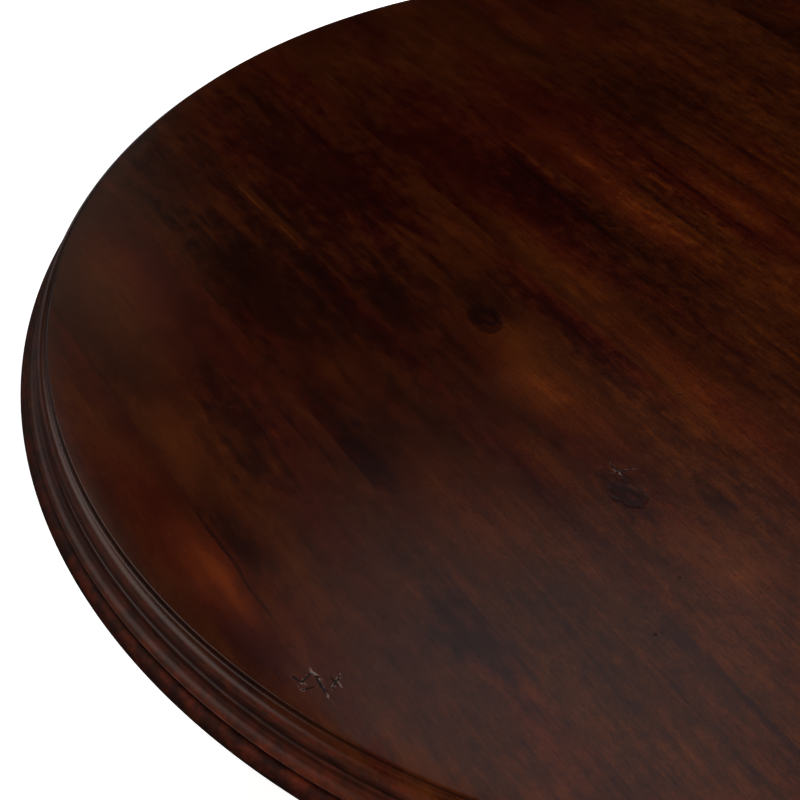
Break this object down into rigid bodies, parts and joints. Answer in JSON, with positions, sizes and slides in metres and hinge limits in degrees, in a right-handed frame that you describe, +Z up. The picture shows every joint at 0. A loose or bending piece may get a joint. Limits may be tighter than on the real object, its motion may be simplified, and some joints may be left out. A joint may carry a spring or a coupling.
{
  "type": "round pedestal table",
  "caption": "Round dining table with a planked, moulded-edge wooden top on a turned column with curved legs and levelling glides.",
  "frame": {"origin": "floor level under the middle of the round top", "axes": "+Z up, the boards of the top run along X"},
  "size_m": [1.2196, 1.2196, 0.762],
  "materials": {
    "top_wood": "worn dark stain under satin lacquer",
    "rim_wood": "worn dark stain under satin lacquer",
    "turned_wood": "worn dark stain under satin lacquer",
    "leg_wood": "worn dark stain under satin lacquer",
    "bearer_wood": "thin dark stain",
    "hidden_wood": "bare",
    "iron": "black oxide",
    "steel": "zinc plated",
    "brass": "plain",
    "pad": "matt"
  },
  "bodies": {
    "table": {"batten_screws": "steel", "bearer_screws": "steel", "board_splines": "hidden_wood", "column": "turned_wood", "cross_bearer": "bearer_wood", "drop_finial": "turned_wood", "drop_nut": "steel", "drop_stud": "steel", "foot_inserts": "brass", "left_batten": "bearer_wood", "leg_1": "leg_wood", "leg_2": "leg_wood", "leg_3": "leg_wood", "leg_4": "leg_wood", "leg_bolt_washers": "steel", "leg_bolts": "steel", "leg_dowels": "hidden_wood", "leg_inserts": "brass", "long_bearer": "bearer_wood", "right_batten": "bearer_wood", "rim_screws": "steel", "rim_segment_1": "rim_wood", "rim_segment_2": "rim_wood", "rim_segment_3": "rim_wood", "rim_segment_4": "rim_wood", "rim_segment_5": "rim_wood", "rim_segment_6": "rim_wood", "rim_segment_7": "rim_wood", "rim_segment_8": "rim_wood", "spider_plate": "iron", "spider_screws": "steel", "tie_rod": "steel", "tie_rod_nuts": "steel", "tie_rod_washers": "steel", "top_board_1": "top_wood", "top_board_10": "top_wood", "top_board_2": "top_wood", "top_board_3": "top_wood", "top_board_4": "top_wood", "top_board_5": "top_wood", "top_board_6": "top_wood", "top_board_7": "top_wood", "top_board_8": "top_wood", "top_board_9": "top_wood"},
    "glide_pad_1": {"glide_pad_1": "pad"},
    "glide_stem_1": {"glide_stem_1": "steel"},
    "glide_pad_2": {"glide_pad_2": "pad"},
    "glide_stem_2": {"glide_stem_2": "steel"},
    "glide_pad_3": {"glide_pad_3": "pad"},
    "glide_stem_3": {"glide_stem_3": "steel"},
    "glide_pad_4": {"glide_pad_4": "pad"},
    "glide_stem_4": {"glide_stem_4": "steel"}
  },
  "joints": [
    {"name": "glide_1_rise", "type": "slide", "parent": "table", "child": "glide_pad_1", "axis": [0, 0, -1], "range_m": [0, 0.016]},
    {"name": "glide_1_turn", "type": "hinge", "parent": "glide_pad_1", "child": "glide_stem_1", "pos_m": [0.29345, 0.29345, 0.01], "axis": [0, 0, -1], "range_deg": [0, 3452]},
    {"name": "glide_2_rise", "type": "slide", "parent": "table", "child": "glide_pad_2", "axis": [0, 0, -1], "range_m": [0, 0.016]},
    {"name": "glide_2_turn", "type": "hinge", "parent": "glide_pad_2", "child": "glide_stem_2", "pos_m": [-0.29345, 0.29345, 0.01], "axis": [0, 0, -1], "range_deg": [0, 3452]},
    {"name": "glide_3_rise", "type": "slide", "parent": "table", "child": "glide_pad_3", "axis": [0, 0, -1], "range_m": [0, 0.016]},
    {"name": "glide_3_turn", "type": "hinge", "parent": "glide_pad_3", "child": "glide_stem_3", "pos_m": [-0.29345, -0.29345, 0.01], "axis": [0, 0, -1], "range_deg": [0, 3452]},
    {"name": "glide_4_rise", "type": "slide", "parent": "table", "child": "glide_pad_4", "axis": [0, 0, -1], "range_m": [0, 0.016]},
    {"name": "glide_4_turn", "type": "hinge", "parent": "glide_pad_4", "child": "glide_stem_4", "pos_m": [0.29345, -0.29345, 0.01], "axis": [0, 0, -1], "range_deg": [0, 3452]}
  ],
  "couplings": [
    {"joint": "glide_1_rise", "follows": "glide_1_turn", "m_per_rad": 0.00019894},
    {"joint": "glide_2_rise", "follows": "glide_2_turn", "m_per_rad": 0.00019894},
    {"joint": "glide_3_rise", "follows": "glide_3_turn", "m_per_rad": 0.00019894},
    {"joint": "glide_4_rise", "follows": "glide_4_turn", "m_per_rad": 0.00019894}
  ]
}
